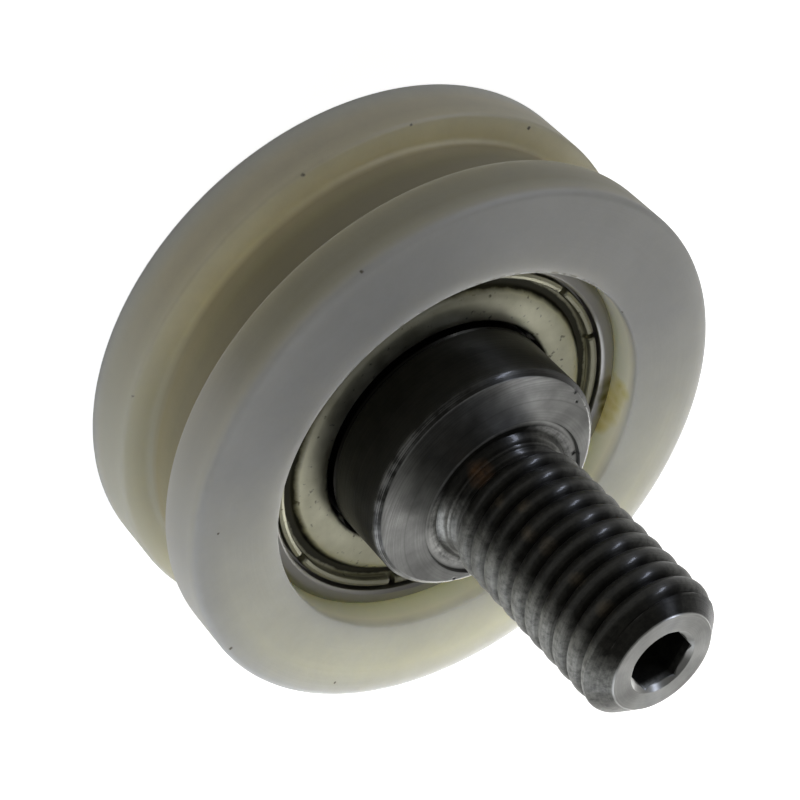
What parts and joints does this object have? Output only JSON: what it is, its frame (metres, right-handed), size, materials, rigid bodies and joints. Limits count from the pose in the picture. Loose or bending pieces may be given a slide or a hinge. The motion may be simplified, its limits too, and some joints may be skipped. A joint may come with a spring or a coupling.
{
  "type": "eccentric roller",
  "caption": "Grooved nylon guide roller on a shielded ball bearing, with a steel stud whose threaded shank is offset from the roller's axis to set its distance to a rail.",
  "frame": {"origin": "centre of the roller's flat back face, on the bearing's axis; the part stands on that face", "axes": "+Z along the bearing's axis from the back face towards the stud; the shank is offset towards +Y"},
  "size_m": [0.04, 0.04, 0.034],
  "materials": {
    "nylon": "milky natural nylon",
    "ring_steel": "ground",
    "ball_steel": "polished",
    "cage_steel": "pressed",
    "shield_steel": "pressed",
    "stud_steel": "turned, lightly oiled",
    "clip_steel": "oil-blackened"
  },
  "bodies": {
    "stud": {"eccentric_stud": "stud_steel", "inner_ring": "ring_steel", "retaining_ring": "clip_steel"},
    "wheel": {"roller": "nylon", "outer_ring": "ring_steel", "front_shield": "shield_steel", "rear_shield": "shield_steel"},
    "cage": {"cage_front": "cage_steel", "cage_rear": "cage_steel", "cage_rivets": "cage_steel"},
    "bearing_ball_1": {"ball_1": "ball_steel"},
    "bearing_ball_2": {"ball_2": "ball_steel"},
    "bearing_ball_3": {"ball_3": "ball_steel"},
    "bearing_ball_4": {"ball_4": "ball_steel"},
    "bearing_ball_5": {"ball_5": "ball_steel"},
    "bearing_ball_6": {"ball_6": "ball_steel"},
    "bearing_ball_7": {"ball_7": "ball_steel"},
    "bearing_ball_8": {"ball_8": "ball_steel"}
  },
  "joints": [
    {"name": "roller_spin", "type": "hinge", "parent": "stud", "child": "wheel", "pos_m": [0, 0, 0.0078], "axis": [0, 0, 1], "continuous": true},
    {"name": "cage_spin", "type": "hinge", "parent": "stud", "child": "cage", "pos_m": [0, 0, 0.0078], "axis": [0, 0, 1], "continuous": true},
    {"name": "ball_1_spin", "type": "hinge", "parent": "cage", "child": "bearing_ball_1", "pos_m": [0.01, 0, 0.0078], "axis": [0, 0, 1], "continuous": true},
    {"name": "ball_2_spin", "type": "hinge", "parent": "cage", "child": "bearing_ball_2", "pos_m": [0.00707, 0.00707, 0.0078], "axis": [0, 0, 1], "continuous": true},
    {"name": "ball_3_spin", "type": "hinge", "parent": "cage", "child": "bearing_ball_3", "pos_m": [0, 0.01, 0.0078], "axis": [0, 0, 1], "continuous": true},
    {"name": "ball_4_spin", "type": "hinge", "parent": "cage", "child": "bearing_ball_4", "pos_m": [-0.00707, 0.00707, 0.0078], "axis": [0, 0, 1], "continuous": true},
    {"name": "ball_5_spin", "type": "hinge", "parent": "cage", "child": "bearing_ball_5", "pos_m": [-0.01, 0, 0.0078], "axis": [0, 0, 1], "continuous": true},
    {"name": "ball_6_spin", "type": "hinge", "parent": "cage", "child": "bearing_ball_6", "pos_m": [-0.00707, -0.00707, 0.0078], "axis": [0, 0, 1], "continuous": true},
    {"name": "ball_7_spin", "type": "hinge", "parent": "cage", "child": "bearing_ball_7", "pos_m": [0, -0.01, 0.0078], "axis": [0, 0, 1], "continuous": true},
    {"name": "ball_8_spin", "type": "hinge", "parent": "cage", "child": "bearing_ball_8", "pos_m": [0.00707, -0.00707, 0.0078], "axis": [0, 0, 1], "continuous": true}
  ],
  "couplings": [
    {"joint": "cage_spin", "follows": "roller_spin", "ratio": 0.61905},
    {"joint": "ball_1_spin", "follows": "roller_spin", "ratio": 1.9809},
    {"joint": "ball_2_spin", "follows": "roller_spin", "ratio": 1.9809},
    {"joint": "ball_3_spin", "follows": "roller_spin", "ratio": 1.9809},
    {"joint": "ball_4_spin", "follows": "roller_spin", "ratio": 1.9809},
    {"joint": "ball_5_spin", "follows": "roller_spin", "ratio": 1.9809},
    {"joint": "ball_6_spin", "follows": "roller_spin", "ratio": 1.9809},
    {"joint": "ball_7_spin", "follows": "roller_spin", "ratio": 1.9809},
    {"joint": "ball_8_spin", "follows": "roller_spin", "ratio": 1.9809}
  ]
}
